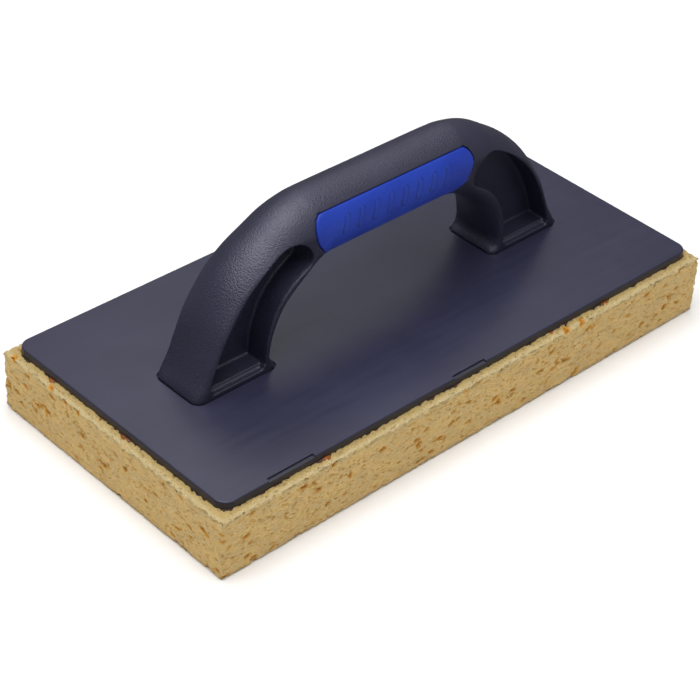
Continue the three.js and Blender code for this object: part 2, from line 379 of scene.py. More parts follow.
@dataclass(frozen=True)
class SatinPlate:
    """Slate satin plastic with faint flow lines where the melt met in the mould, and painted shade below its
    top face.
    """

    dark: Colour = (0.022, 0.022, 0.048)
    light: Colour = (0.028, 0.028, 0.060)
    # Painted shade on every face below the top face: the lip, the sides, the notch floors and the pockets.
    shade: Colour = (0.017, 0.017, 0.029)
    seam: Colour = (0.016, 0.016, 0.026)
    worn: Colour = (0.075, 0.075, 0.095)
    gloss: float = 0.35
    wave: float = 34.0
    flow_end: float = 40.0
    flow_reach: float = 60.0

    def flow_line(self, recipe: Recipe, along: Number, across: Number) -> Number:
        """The seam between the feet and the one that crosses it in the middle, as 1 on the line."""
        wander = (recipe.cloud(30.0, 2.0) - 0.5) * (9.0 * MM)
        middle = abs(across + wander * 0.4).ramp(0.9 * MM, 0.1 * MM)
        middle = middle * abs(along).ramp(self.flow_reach * MM, self.flow_end * MM)
        meeting = abs(along + across * 0.4 + wander).ramp(1.6 * MM, 0.2 * MM)
        return (middle * 0.35).most(meeting * 0.16)

    def made(self) -> Material:
        """The plate's material."""
        recipe = Recipe("satin_plate")
        along, across, height = recipe.axes()
        drift = recipe.cloud(self.wave, 3.0, 0.5)
        streaks = recipe.cloud(3.0, 3.0, 0.6, recipe.place((0.07, 1.0, 1.0), (0.0, 0.0, 12.0)))
        specks = recipe.cells(2.4).ramp(0.16, 0.05) * recipe.cloud(6.0).ramp(0.58, 0.7)
        scuffs = recipe.cloud(0.5, 2.0, 0.5, recipe.place((0.03, 1.0, 1.0), (0.0, 0.0, -37.0)))
        scuffs = scuffs.ramp(0.66, 0.74) * recipe.cloud(14.0).ramp(0.5, 0.62)
        fine = recipe.cloud(0.35, 2.0, 0.6)
        flow = self.flow_line(recipe, along, across)
        base = recipe.mixed(
            self.dark,
            (self.light, (drift * 0.6 + streaks * 0.4).ramp(0.35, 0.65)),
            (self.seam, flow * 0.5),
            (self.worn, specks * 0.3 + scuffs * 0.1),
            # Painted shade on every face below the top face.
            (self.shade, height.ramp((PLATE_TOP - 0.3) * MM, (PLATE_TOP - 0.9) * MM)),
        )
        roughness = self.gloss + (streaks - 0.5) * 0.1 + (fine - 0.5) * 0.08 + scuffs * 0.15 + flow * 0.1
        normal = recipe.raised((drift, 0.35, 0.7), (1 - flow, 0.03, 0.8), (fine, 0.006, 0.8))
        return recipe.finished({"IOR": PLASTIC_IOR}, base=base, roughness=roughness, normal=normal)


@dataclass(frozen=True)
class SoftRubber:
    """Blue overmoulded rubber with a silky skin, and painted shade along the flanks of its ribs."""

    deep: Colour = (0.005, 0.029, 0.33)
    bright: Colour = (0.008, 0.045, 0.42)
    dusty: Colour = (0.09, 0.13, 0.45)
    # Painted shade drawn along the flanks of the ribs.
    shade: Colour = (0.003, 0.012, 0.10)
    gloss: float = 0.55

    def made(self) -> Material:
        """The soft grip's material."""
        recipe = Recipe("soft_rubber")
        drift = recipe.cloud(16.0, 3.0, 0.5)
        skin = recipe.cloud(0.3, 2.0, 0.6)
        dust = recipe.cells(1.1).ramp(0.14, 0.04) * recipe.cloud(5.0).ramp(0.55, 0.7)
        rib = recipe.attribute("rib")
        # Painted shade along each rib's flank, strongest halfway up it.
        outline = rib * (1 - rib) * 4.0
        base = recipe.mixed(
            self.deep,
            (self.bright, drift.ramp(0.3, 0.7) * 0.7 + skin * 0.3),
            (self.dusty, dust * 0.3),
            (self.shade, outline.ramp(0.25, 1.0) * 0.75),
        )
        return recipe.finished(
            {"IOR": PLASTIC_IOR, SHINE: 0.4, "Sheen Weight": 0.05, "Sheen Roughness": 0.4},
            base=base,
            roughness=self.gloss + (skin - 0.5) * 0.14 + (drift - 0.5) * 0.08,
            normal=recipe.raised((skin, 0.012, 1.0)),
        )


@dataclass(frozen=True)
class CellFoam:
    """Open-celled sponge, tan, with orange-brown painted shade in its pores, painted shade streaked with
    paler fibres on its top band, and pale fibres with a painted highlight along its top edge.
    """

    body: Colour = (0.715, 0.485, 0.18)
    grey: Colour = (0.625, 0.445, 0.195)
    pale: Colour = (0.87, 0.69, 0.40)
    # Painted shade for the pad's top band.
    cut: Colour = (0.47, 0.34, 0.13)
    # Pale fibres and a painted highlight along the pad's top edge.
    pale_fibres_and_highlight: Colour = (0.68, 0.56, 0.33)
    # Painted shade in the pores: a darker orange where the pores are, darker still at the bottom of the
    # modelled pores.
    pore: Colour = (0.70, 0.36, 0.070)
    deep_pore_shade: Colour = (0.56, 0.22, 0.022)
    rim_depth: float = 2.2
    arris_width: float = 2.9

    def made(self) -> Material:
        """The pad's material."""
        recipe = Recipe("cell_foam")
        along, across, height = recipe.axes()
        flat = recipe.place((1.0, 1.0, 2.1), (9.0, -11.0, 0.0))
        patches = recipe.cloud(7.0, 3.0, 0.6, flat)
        blotches = recipe.cloud(2.2, 3.0, 0.6, flat)
        fibres = recipe.cloud(0.6, 3.0, 0.7)
        small = recipe.cells(2.6, flat).ramp(0.42, 0.14)
        small = small * recipe.cloud(4.0, 1.0, 0.5, flat).ramp(0.38, 0.56)
        tiny = recipe.cells(0.9, flat).ramp(0.38, 0.12) * recipe.cloud(2.4).ramp(0.45, 0.62)
        pore_shade_depth = recipe.attribute("pore")
        rim = height.ramp((PAD_TOP - self.rim_depth) * MM, (PAD_TOP - 0.3) * MM)
        by_end, by_side = (
            abs(place).ramp((span / 2 - self.arris_width) * MM, (span / 2 - 1.2) * MM)
            for place, span in ((along, PAD_LENGTH), (across, PAD_WIDTH))
        )
        arris = by_end.most(by_side) * height.ramp((PAD_TOP - 1.6) * MM, (PAD_TOP - 0.6) * MM)
        base = recipe.mixed(
            self.body,
            (self.grey, patches.ramp(0.35, 0.7)),
            (self.pale, fibres.ramp(0.45, 0.7) * 0.45 + blotches.ramp(0.5, 0.75) * 0.35),
            # Painted shade in the pores that are only drawn in the finish, not modelled.
            (self.pore, small * 0.8 + tiny * 0.5),
            # Painted shade: the top band is darkened so that it reads no brighter than the sides under the
            # overhead light.
            (self.cut, rim * 0.8),
            (self.pale, rim * fibres.ramp(0.52, 0.72) * 0.55),
            # Pale fibres and a painted highlight along the top edge.
            (self.pale_fibres_and_highlight, arris * (0.15 + fibres.ramp(0.35, 0.65) * 0.75)),
            # Painted shade in the modelled pores, darker the deeper the point lies.
            (self.pore, pore_shade_depth.ramp(0.12, 0.6) * 0.85),
            (self.deep_pore_shade, pore_shade_depth.ramp(0.5, 1.0) * 0.8),
        )
        relief = fibres * 0.5 + blotches * 0.5 - small * 0.6 - tiny * 0.3
        constants = {"Roughness": 0.92, "IOR": 1.35, SHINE: 0.2}
        return recipe.finished(constants, base=base, normal=recipe.raised((relief, 1.2, 1.0)))


@dataclass(frozen=True)
class ContactGlue:
    """Dark glue that turns amber where it has squeezed out thickly."""

    dark: Colour = (0.030, 0.018, 0.010)
    brown: Colour = (0.11, 0.045, 0.013)
    amber: Colour = (0.44, 0.12, 0.010)

    def made(self) -> Material:
        """The glue's material."""
        recipe = Recipe("contact_glue")
        grain = recipe.cloud(1.2, 3.0, 0.6)
        runs = recipe.cloud(6.0, 2.0)
        blob = recipe.attribute("blob")
        base = recipe.mixed(
            self.dark,
            (self.brown, runs.ramp(0.4, 0.75) * 0.7 + grain.ramp(0.5, 0.8) * 0.3),
            (self.amber, blob.ramp(0.3, 0.9) * (0.25 + grain * 0.8)),
        )
        roughness = 0.62 - blob * 0.35 + (grain - 0.5) * 0.2
        normal = recipe.raised((grain, 0.25, 1.0))
        return recipe.finished({"IOR": PLASTIC_IOR}, base=base, roughness=roughness, normal=normal)


@dataclass(frozen=True)
class ZincSteel:
    """Zinc-plated steel with a turned grain and a faint blue-yellow cast."""

    cool: Colour = (0.56, 0.59, 0.63)
    warm: Colour = (0.66, 0.62, 0.52)
    dull: Colour = (0.34, 0.33, 0.32)

    def made(self) -> Material:
        """The screws' material."""
        recipe = Recipe("zinc_steel")
        cast = recipe.cloud(2.5, 2.0)
        turned = recipe.cloud(0.4, 3.0, 0.6, recipe.place((1.0, 1.0, 6.0)))
        layers = ((self.warm, cast.ramp(0.35, 0.65)), (self.dull, turned.ramp(0.55, 0.85) * 0.4))
        return recipe.finished(
            {"Metallic": 1.0},
            base=recipe.mixed(self.cool, *layers),
            roughness=0.3 + (turned - 0.5) * 0.25 + cast * 0.08,
            normal=recipe.raised((turned, 0.02, 1.0)),
        )


@dataclass(frozen=True)
class StudioPaper:
    """Plain white paper under the float."""

    tone: Colour = (0.93, 0.93, 0.93)
    light: Colour = (0.95, 0.95, 0.95)

    def made(self) -> Material:
        """The floor's material."""
        recipe = Recipe("studio_paper")
        base = recipe.mixed(self.tone, (self.light, recipe.cloud(4.0, 2.0)))
        return recipe.finished({"Roughness": 1.0, SHINE: 0.0}, base=base)


# ------------------------------------------------------------------------------------------- mesh tools


class Bench:
    """The mesh work that the sub-assemblies share."""

    @staticmethod
    def piece(name: str, shape: Shape) -> Solid:
        """Turns a closed shape into an object.

        Args:
            name: the object's name.
            shape: the shape in metres, which is used up.

        Returns:
            The new object, with its faces pointing outwards.
        """
        bmesh.ops.remove_doubles(shape, verts=shape.verts, dist=MERGE * MM)
        bmesh.ops.recalc_face_normals(shape, faces=shape.faces)
        mesh = bpy.data.meshes.new(name)
        shape.to_mesh(mesh)
        shape.free()
        made = bpy.data.objects.new(name, mesh)
        bpy.context.scene.collection.objects.link(made)
        return made

    @staticmethod
    @contextmanager
    def opened(piece: Solid) -> Iterator[Shape]:
        """Opens a piece's mesh as a shape, and writes it back afterwards."""
        shape = bmesh.new()
        shape.from_mesh(piece.data)
        yield shape
        shape.to_mesh(piece.data)
        shape.free()

    @staticmethod
    def modified(piece: Solid, kind: str, **settings: Any) -> None:
        """Adds a modifier to a piece and applies it.

        Args:
            piece: the piece.
            kind: the modifier's type.
            settings: its settings.
        """
        modifier = piece.modifiers.new(kind.lower(), kind)
        for name, value in settings.items():
            setattr(modifier, name, value)
        graph = bpy.context.evaluated_depsgraph_get()
        made = bpy.data.meshes.new_from_object(piece.evaluated_get(graph), depsgraph=graph)
        old = piece.data
        made.name = old.name
        piece.modifiers.clear()
        piece.data = made
        bpy.data.meshes.remove(old)

    @staticmethod
    def join(piece: Solid, tool: Solid, how: Join) -> None:
        """Joins a tool solid to a piece and removes the tool."""
        Bench.modified(piece, "BOOLEAN", operation=how.value, solver="EXACT", object=tool)
        bpy.data.objects.remove(tool)

    @staticmethod
    def cut(piece: Solid, shape: Shape) -> None:
        """Cuts a closed shape out of a piece."""
        Bench.join(piece, Bench.piece("cutter", shape), Join.CUT)

    @staticmethod
    def bored(piece: Solid, levels: Sequence[tuple[float, float, float, float]]) -> None:
        """Cuts the same stepped hole out of a piece at every screw.

        Args:
            piece: the piece.
            levels: each step's foot, top, radius at the foot and radius at the top, in millimetres.
        """
        for place in SCREW_PLACES:
            for level in levels:
                Bench.cut(piece, Bench.post(place, *level))

    @staticmethod
    def fuse(piece: Solid, voxel: float, relaxing: int) -> None:
        """Remakes a piece's surface evenly and softens its edges.

        Args:
            piece: a closed piece.
            voxel: the size of the new faces, in millimetres.
            relaxing: how many times the points are eased towards their neighbours.
        """
        Bench.modified(piece, "REMESH", mode="VOXEL", voxel_size=voxel * MM, use_smooth_shade=True)
        with Bench.opened(piece) as shape:
            axes = {"use_axis_x": True, "use_axis_y": True, "use_axis_z": True}
            for _ in range(relaxing):
                bmesh.ops.smooth_vert(shape, verts=shape.verts, factor=0.5, **axes)

    @staticmethod
    def triangles(piece: Solid) -> int:
        """How many triangles a piece has."""
        return sum(len(face.vertices) - 2 for face in piece.data.polygons)

    @staticmethod
    def slab(low: Sequence[float], high: Sequence[float]) -> Shape:
        """A box between its lowest and its highest corner, in millimetres."""
        shape = bmesh.new()
        middle = Matrix.Translation((Vector(low) + Vector(high)) * (MM / 2))
        span = (Vector(high) - Vector(low)) * MM
        bmesh.ops.create_cube(shape, size=1.0, matrix=middle @ Matrix.Diagonal((*span, 1.0)))
        return shape

    @staticmethod
    def sheet(length: float, width: float, low: float, high: float) -> Shape:
        """A box about the middle line of the float, in millimetres."""
        return Bench.slab((-length / 2, -width / 2, low), (length / 2, width / 2, high))

    @staticmethod
    def divided(shape: Shape, axis: int, least: float, cuts: int) -> None:
        """Cuts up the edges that run along an axis.

        Args:
            shape: the shape.
            axis: 0, 1 or 2 for x, y or z.
            least: the length above which an edge is cut, in the shape's own unit.
            cuts: how many times each edge is cut.
        """
        edges = [e for e in shape.edges if abs((e.verts[0].co - e.verts[1].co)[axis]) > least]
        bmesh.ops.subdivide_edges(shape, edges=edges, cuts=cuts, use_grid_fill=True)

    @staticmethod
    def post(place: float, low: float, high: float, wide: float, narrow: float) -> Shape:
        """A round upright post or cone on the middle line of the float.

        Args:
            place: its x, in millimetres.
            low: the height of its foot.
            high: the height of its top.
            wide: its radius at the foot.
            narrow: its radius at the top.

        Returns:
            The shape.
        """
        shape = bmesh.new()
        bmesh.ops.create_cone(
            shape,
            cap_ends=True,
            segments=HOLE_SIDES,
            radius1=wide * MM,
            radius2=narrow * MM,
            depth=(high - low) * MM,
            matrix=Matrix.Translation((place * MM, 0.0, (low + high) / 2 * MM)),
        )
        return shape

    @staticmethod
    def rounded(shape: Shape, wanted: Callable[[Edge], bool], radius: float, steps: int) -> None:
        """Rounds chosen edges of a shape.

        Args:
            shape: the shape.
            wanted: says whether an edge is rounded.
            radius: the radius, in millimetres.
            steps: how many faces the rounding has.
        """
        bmesh.ops.bevel(
            shape,
            geom=[edge for edge in shape.edges if wanted(edge)],
            offset=radius * MM,
            offset_type="OFFSET",
            segments=steps,
            profile=0.5,
            affect="EDGES",
            material=-1,
            clamp_overlap=False,
        )

    @staticmethod
    def dressed(
        piece: Solid, material: Material, node: str, slot: str, sharp: Optional[float] = None
    ) -> None:
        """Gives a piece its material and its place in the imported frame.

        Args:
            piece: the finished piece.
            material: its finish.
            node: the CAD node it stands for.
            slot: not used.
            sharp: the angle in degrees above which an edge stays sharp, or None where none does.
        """
        piece.data.materials.clear()
        piece.data.materials.append(material)
        piece.data.polygons.foreach_set("use_smooth", [True] * len(piece.data.polygons))
        if sharp is not None:
            piece.data.set_sharp_from_angle(angle=math.radians(sharp))
        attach(piece, BODY)
        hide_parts(node)
        LOG.info("%s: %d triangles", piece.name, Bench.triangles(piece))


def is_upright(edge: Edge) -> bool:
    """Whether an edge runs straight up."""
    line = edge.verts[0].co - edge.verts[1].co
    return abs(line.z) > LEAST_UPRIGHT * line.length


def is_level_at(height: float) -> Callable[[Edge], bool]:
    """A test for whether an edge lies at a height, in millimetres."""
    return lambda edge: all(abs(vert.co.z - height * MM) < NEAR * MM for vert in edge.verts)


def eased(low: float, high: float, value: float) -> float:
    """A smooth step from 0 at low to 1 at high."""
    share = max(0.0, min(1.0, (value - low) / (high - low)))
    return share * share * (3 - 2 * share)


def spline(values: Sequence[float], share: float) -> float:
    """A smooth number along a row of them.

    Args:
        values: the numbers that the spline passes through.
        share: the place along it, from 0 to 1.

    Returns:
        The number there.
    """
    last = len(values) - 1
    place = share * last
    index = min(int(place), last - 1)
    part = place - index
    before, here, there, after = (values[max(0, min(last, index + step))] for step in (-1, 0, 1, 2))
    leave = (there - before) / 2
    arrive = (after - here) / 2
    cubic = (2 * here - 2 * there + leave + arrive) * part**3
    square = (3 * there - 3 * here - 2 * leave - arrive) * part**2
    return cubic + square + leave * part + here


def drawn_across(outline: Iterable[Point], low: float, high: float) -> Shape:
    """An outline seen from the front, drawn across the float.

    Args:
        outline: its points in x and z, in millimetres.
        low: the y where it starts.
        high: the y where it ends.

    Returns:
        The closed shape.
    """
    shape = bmesh.new()
    face = shape.faces.new([shape.verts.new((x * MM, low * MM, z * MM)) for x, z in outline])
    grown = bmesh.ops.extrude_face_region(shape, geom=[face])
    moved = [part for part in grown["geom"] if isinstance(part, bmesh.types.BMVert)]
    bmesh.ops.translate(shape, verts=moved, vec=(0.0, (high - low) * MM, 0.0))
    return shape


# --------------------------------------------------------------------------------------- sub-assemblies


@dataclass(frozen=True)
class Station:
    """One cut through half of the bow, with its sizes in millimetres."""

    outer_x: float
    outer_z: float
    inner_x: float
    inner_z: float
    half: float
    outer_crown: float
    inner_crown: float
    outer_corner: float
    inner_corner: float


@dataclass(frozen=True)
class Bow:
    """The arch that both the handle and its soft grip are cut from."""

    stations: tuple[Station, ...] = (
        Station(0, 102, 0, 71.4, 15, 15.05, 15.05, 0.0, 0.0),
        Station(36, 102, 29, 71.4, 15, 15.05, 15.05, 0.0, 0.0),
        Station(46, 101.1, 34, 71.2, 15, 15.2, 15.3, 0.1, 0.1),
        Station(55.8, 98.2, 39.5, 70.2, 14.7, 15.7, 16.6, 0.4, 0.5),
        Station(65.5, 92.5, 46, 67.2, 14.4, 16.6, 18.2, 0.8, 0.6),
        Station(75.4, 85.8, 52, 62.7, 14.1, 18.2, 19, 1.1, 0.6),
        Station(84.2, 77.3, 57, 57.3, 14, 20.2, 19.3, 1.4, 0.6),
        Station(91.4, 65.8, 61.5, 49.5, 14, 24.5, 20.7, 1.9, 0.6),
        Station(96.9, 51.5, 64.2, 42.3, 14, 38, 24, 2.7, 0.7),
        Station(101.2, 41.8, 64.8, 38, 14, 46, 30, 3.6, 1.6),
        Station(104.7, 35.6, 63.4, 34.9, 14, 82, 46, 4.3, 3.0),
        Station(106, 32.5, 62.5, 32.5, 14, 150, 150, 4.5, 3.5),
    )
    least_crown: float = 1.003
    least_height: float = 0.05
    steps_along: int = 190
    steps_across: int = 44
    steps_deep: int = 5

    def section(self, share: float) -> Station:
        """The cut at one place along the bow, from 0 in the middle to 1 at a foot."""
        sizes = zip(*(astuple(station) for station in self.stations))
        return Station(*(spline(values, share) for values in sizes))

    def bent(self, place: Vector, cut: Station, inset: float) -> Vector:
        """Where a point of the straight block goes in the bow.

        Args:
            place: the point in the block, from -1 to 1 along each side.
            cut: the bow's sizes there.
            inset: how far the surface is moved inwards, in millimetres.

        Returns:
            The point in metres.
        """
        across = math.sin(place.x * math.pi / 2)
        outer = Vector((cut.outer_x, cut.outer_z))
        middle = (outer + Vector((cut.inner_x, cut.inner_z))) / 2
        reach = outer - middle
        deep = reach.length - inset
        is_outer = place.y > 0
        crown = max(cut.outer_crown if is_outer else cut.inner_crown, cut.half * self.least_crown)
        height = math.sqrt(1 - (cut.half * across / crown) ** 2)
        corner = max(0.0, cut.outer_corner if is_outer else cut.inner_corner)
        over = max(0.0, abs(across) * cut.half - (cut.half - corner))
        drop = corner - math.sqrt(max(0.0, corner**2 - over**2))
        height = max(self.least_height * height, height - drop / deep)
        spot = middle + reach.normalized() * (deep * height * place.y)
        return Vector((math.copysign(spot.x, place.z), (cut.half - inset) * across, spot.y)) * MM

    def solid(self, inset: float) -> Shape:
        """A subdivided block bent into the bow.

        Args:
            inset: how far its whole surface is moved inwards, in millimetres.

        Returns:
            The closed shape.
        """
        shape = bmesh.new()
        bmesh.ops.create_cube(shape, size=2.0)
        for axis, cuts in enumerate((self.steps_across, self.steps_deep, self.steps_along)):
            Bench.divided(shape, axis, 1.0, cuts)
        sections: dict[float, Station] = {}
        for vert in shape.verts:
            share = round(min(1.0, abs(vert.co.z)), 5)
            if share not in sections:
                sections[share] = self.section(share)
            vert.co = self.bent(vert.co, sections[share], inset)
        return shape


@dataclass(frozen=True)
class GripZone:
    """The part of the bar that the soft grip takes, seen from the front."""

    top: float = 96.6
    top_half: float = 38.8
    bulge_half: float = 44.4
    bulge_z: float = 90.0
    under_half: float = 36.0
    under_z: float = 74.5
    cut_bottom: float = 60.0
    flare: Point = (2.0, 5.0)
    rise: float = 7.0
    round_over: float = 3.5
    steps: int = 10
    reach: float = 20.0

    def outline(self, grow: float) -> list[Point]:
        """The outline of the zone.

        Args:
            grow: how far it is grown all round, in millimetres.

        Returns:
            Its points in x and z, in order.
        """
        top = self.top + grow
        top_half = self.top_half + grow
        bulge = self.bulge_half + grow
        under = self.under_half + grow
        lower_ends = (
            (under, self.under_z),
            (under + self.flare[0], self.under_z + self.flare[1]),
            (bulge, self.bulge_z - self.rise),
            (bulge, self.bulge_z),
        )
        upper_ends = (
            (bulge, self.bulge_z),
            (bulge, self.bulge_z + self.round_over),
            (top_half + self.round_over, top),
            (top_half, top),
        )
        lower, upper = (
            [(p.x, p.y) for p in interpolate_bezier(*(Vector((*end, 0)) for end in ends), self.steps)]
            for ends in (lower_ends, upper_ends)
        )
        right = [(under, self.cut_bottom), *lower, *upper[1:]]
        return right + [(-x, z) for x, z in reversed(right)]

    def solid(self, grow: float) -> Shape:
        """The zone drawn right across the bar."""
        return drawn_across(self.outline(grow), -self.reach, self.reach)


@dataclass(frozen=True)
class Handle:
    """The hard bow, hollowed on both sides of each leg."""

    bow: Bow
    zone: GripZone
    web_half: float = 2.3
    draft: float = 1.2
    face_reach: float = 19.0
    floor: float = 36.5
    inner_foot: float = 69.8
    outer_foot: float = 98.6
    outer_line: tuple[Point, ...] = (
        (96.4, 44.2),
        (92.1, 54.4),
        (85.8, 65.5),
        (80.2, 72.9),
        (72.5, 80.2),
        (66.2, 84.8),
    )
    end_line: tuple[Point, ...] = ((59.3, 88.2), (53.8, 88.8), (48.8, 85.8), (45.8, 80.6), (46.8, 76.6))
    inner_line: tuple[Point, ...] = (
        (50.4, 74),
        (54.8, 71),
        (59.2, 67.2),
        (62.9, 62.6),
        (65.7, 57.4),
        (67.6, 52.3),
        (69, 46.5),
    )
    outline_steps: int = 60
    ledge: float = 35.0
    ledge_inner: float = 11.0
    ledge_inset: float = 0.8
    screw_shank: float = 37.8
    screw_tip: float = 41.6
    screw_point: float = 0.3
    voxel: float = 0.5
    relaxing: int = 4

    def recess_outline(self, side: Side) -> list[Point]:
        """The rim of the recess in one leg, from the foot up and round."""
        start = (self.outer_foot, self.floor)
        end = (self.inner_foot, self.floor)
        line = [start, *self.outer_line, *self.end_line, *self.inner_line, end]
        shares = [step / self.outline_steps for step in range(self.outline_steps + 1)]
        xs, zs = ([spline(values, share) for share in shares] for values in zip(*line))
        return [(side.value * x, z) for x, z in zip(xs, zs)]

    def recess(self, side: Side, face: Side) -> Shape:
        """A cutter for one recess, a little narrower at the web than at the rim.

        Args:
            side: which leg it is in.
            face: which face of the leg it opens on.

        Returns:
            The closed shape.
        """
        shape = bmesh.new()
        start = self.face_reach * face.value
        outline = self.recess_outline(side)
        rim = shape.faces.new([shape.verts.new((x * MM, start * MM, z * MM)) for x, z in outline])
        draft = self.draft * MM
        bmesh.ops.inset_region(shape, faces=[rim], thickness=draft, use_boundary=True, use_even_offset=True)
        depth = (self.web_half - self.face_reach) * face.value
        bmesh.ops.translate(shape, verts=rim.verts, vec=(0.0, depth * MM, 0.0))
        bmesh.ops.edgeloop_fill(shape, edges=[edge for edge in shape.edges if edge.is_boundary])
        return shape

    def foot_ledge(self, side: Side, face: Side) -> Shape:
        """A cutter for the low step along one edge of a foot."""
        inner, outer = self.inner_foot + self.ledge_inset, self.outer_foot - self.ledge_inset
        ends = sorted((side.value * inner, side.value * outer))
        sides = sorted((face.value * self.ledge_inner, face.value * self.face_reach))
        return Bench.slab((ends[0], sides[0], self.ledge), (ends[1], sides[1], self.floor + 2 * self.draft))

    def build(self) -> None:
        """Makes the handle."""
        handle = Bench.piece("handle_bow", self.bow.solid(0.0))
        for side in Side:
            for face in Side:
                Bench.cut(handle, self.recess(side, face))
                Bench.cut(handle, self.foot_ledge(side, face))
        sleeve = Bench.piece("sleeve_cutter", self.zone.solid(GAP))
        Bench.cut(sleeve, self.bow.solid(GRIP_THICKNESS + GAP))
        Bench.join(handle, sleeve, Join.CUT)
        levels = (
            (0.0, self.screw_shank, SCREW_HOLE, SCREW_HOLE),
            (self.screw_shank - OVERLAP, self.screw_tip, SCREW_HOLE, self.screw_point),
        )
        Bench.bored(handle, levels)
        Bench.fuse(handle, self.voxel, self.relaxing)
        triangles = Bench.triangles(handle)
        if triangles > TRIANGLE_LIMIT:
            Bench.modified(handle, "DECIMATE", ratio=TRIANGLE_LIMIT / triangles)
        Bench.dressed(handle, GrainedPlastic().made(), "handle_frame", "handle_plastic")


@dataclass(frozen=True)
class SoftGrip:
    """The rubber sleeve on the grip bar, with a row of slanted ribs on each side."""

    bow: Bow
    zone: GripZone
    ribs: int = 8
    rib_pitch: float = 8.2
    rib_low: float = 86.2
    rib_high: float = 92.0
    rib_lean: float = 1.8
    rib_half: float = 1.3
    rib_edge: float = 0.35
    rib_height: float = 0.35
    side_slope: float = 0.2
    voxel: float = 0.42
    relaxing: int = 3

    def rib_share(self, place: Vector) -> float:
        """How far a point is on a rib.

        Args:
            place: the point, in metres.

        Returns:
            From 0 beside the rib to 1 on it.
        """
        line = Vector((self.rib_lean, self.rib_high - self.rib_low))
        gaps = []
        for number in range(self.ribs):
            foot = (number - (self.ribs - 1) / 2) * self.rib_pitch - self.rib_lean / 2
            away = Vector((place.x / MM - foot, place.z / MM - self.rib_low))
            share = max(0.0, min(1.0, away.dot(line) / line.length_squared))
            gaps.append((away - line * share).length)
        return 1 - eased(self.rib_half - self.rib_edge, self.rib_half + self.rib_edge, min(gaps))

    def build(self) -> None:
        """Makes the grip."""
        grip = Bench.piece("grip_sleeve", self.bow.solid(0.0))
        Bench.join(grip, Bench.piece("zone", self.zone.solid(0.0)), Join.KEEP_COMMON)
        Bench.cut(grip, self.bow.solid(GRIP_THICKNESS))
        Bench.fuse(grip, self.voxel, self.relaxing)
        with Bench.opened(grip) as shape:
            shape.normal_update()
            layer = shape.verts.layers.float.new("rib")
            for vert in shape.verts:
                if vert.normal.y * vert.co.y > self.side_slope * abs(vert.co.y):
                    vert[layer] = self.rib_share(vert.co)
                    vert.co += vert.normal * (vert[layer] * self.rib_height * MM)
        Bench.dressed(grip, SoftRubber().made(), "soft_grip", "grip_rubber")


@dataclass(frozen=True)
class BasePlate:
    """The moulded plate, with pockets for the feet and two small steps in its front edge."""

    lip: float = 0.6
    foot_outer: float = 106.0
    foot_inner: float = 62.5
    foot_half: float = 14.0
    foot_outer_corner: float = 4.5
    foot_inner_corner: float = 3.5
    pocket_depth: float = 0.8
    notches: tuple[Point, ...] = ((-113.0, -89.3), (-12.5, 6.0))
    notch_reach: float = 1.9
    notch_drop: float = 0.7
    screw_mouth: float = 3.8
    head_bottom: float = 29.3
    head_rim: float = 0.4
    head_height: float = 2.2
    edge: float = 0.22
    sharp_edge: float = 55.0
    sharp_shade: float = 40.0
    clear: float = 5.0
    merge_reach: float = 0.004
    corner_steps: int = 12
    lip_steps: int = 5
    pocket_steps: int = 8
    edge_steps: int = 2

    def body(self) -> Solid:
        """The plain plate with rounded corners and a soft lip."""
        shape = Bench.sheet(PLATE_LENGTH, PLATE_WIDTH, PLATE_BOTTOM, PLATE_TOP)
        Bench.rounded(shape, is_upright, PLATE_CORNER, self.corner_steps)
        Bench.rounded(shape, is_level_at(PLATE_TOP), self.lip, self.lip_steps)
        Bench.rounded(shape, is_level_at(PLATE_BOTTOM), self.edge, self.edge_steps)
        return Bench.piece("plate_slab", shape)

    def pocket(self, side: Side) -> Shape:
        """A cutter for the pocket that one foot stands in.

        Args:
            side: which end of the plate it is at.

        Returns:
            The closed shape.
        """
        outer, inner = self.foot_outer + GAP, self.foot_inner - GAP
        half = self.foot_half + GAP
        ends = sorted((side.value * outer, side.value * inner))
        low = (ends[0], -half, PLATE_TOP - self.pocket_depth)
        shape = Bench.slab(low, (ends[1], half, PLATE_TOP + self.clear))
        middle = side.value * (outer + inner) / 2 * MM
        for end, corner in ((side.value, self.foot_outer_corner), (-side.value, self.foot_inner_corner)):

            def is_corner(edge: Edge) -> bool:
                """Whether an upright edge is at this end of the foot."""
                return is_upright(edge) and (edge.verts[0].co.x - middle) * end > 0

            Bench.rounded(shape, is_corner, corner + GAP, self.pocket_steps)
        return shape

    def build(self) -> None:
        """Makes the plate."""
        plate = self.body()
        for side in Side:
            Bench.cut(plate, self.pocket(side))
        front = -PLATE_WIDTH / 2
        for start, end in self.notches:
            low = (start, front - self.clear, PLATE_TOP - self.notch_drop)
            high = (end, front + self.notch_reach, PLATE_TOP + self.clear)
            Bench.cut(plate, Bench.slab(low, high))
        rim = self.head_bottom + self.head_rim
        neck = self.head_bottom + self.head_height
        levels = (
            (PLATE_BOTTOM - 1, rim, self.screw_mouth, self.screw_mouth),
            (rim - OVERLAP, neck, self.screw_mouth, SCREW_HOLE),
            (neck - OVERLAP, PLATE_TOP, SCREW_HOLE, SCREW_HOLE),
        )
        Bench.bored(plate, levels)
        sharp = {"limit_method": "ANGLE", "angle_limit": math.radians(self.sharp_edge)}
        Bench.modified(plate, "BEVEL", width=self.edge * MM, segments=self.edge_steps, **sharp)
        reach = self.merge_reach * MM
        with Bench.opened(plate) as shape:
            bmesh.ops.remove_doubles(shape, verts=shape.verts, dist=reach)
            bmesh.ops.dissolve_degenerate(shape, edges=shape.edges, dist=reach)
        Bench.dressed(plate, SatinPlate().made(), "base_plate", "plate_plastic", self.sharp_shade)
        Bench.modified(plate, "WEIGHTED_NORMAL", keep_sharp=True, weight=100)


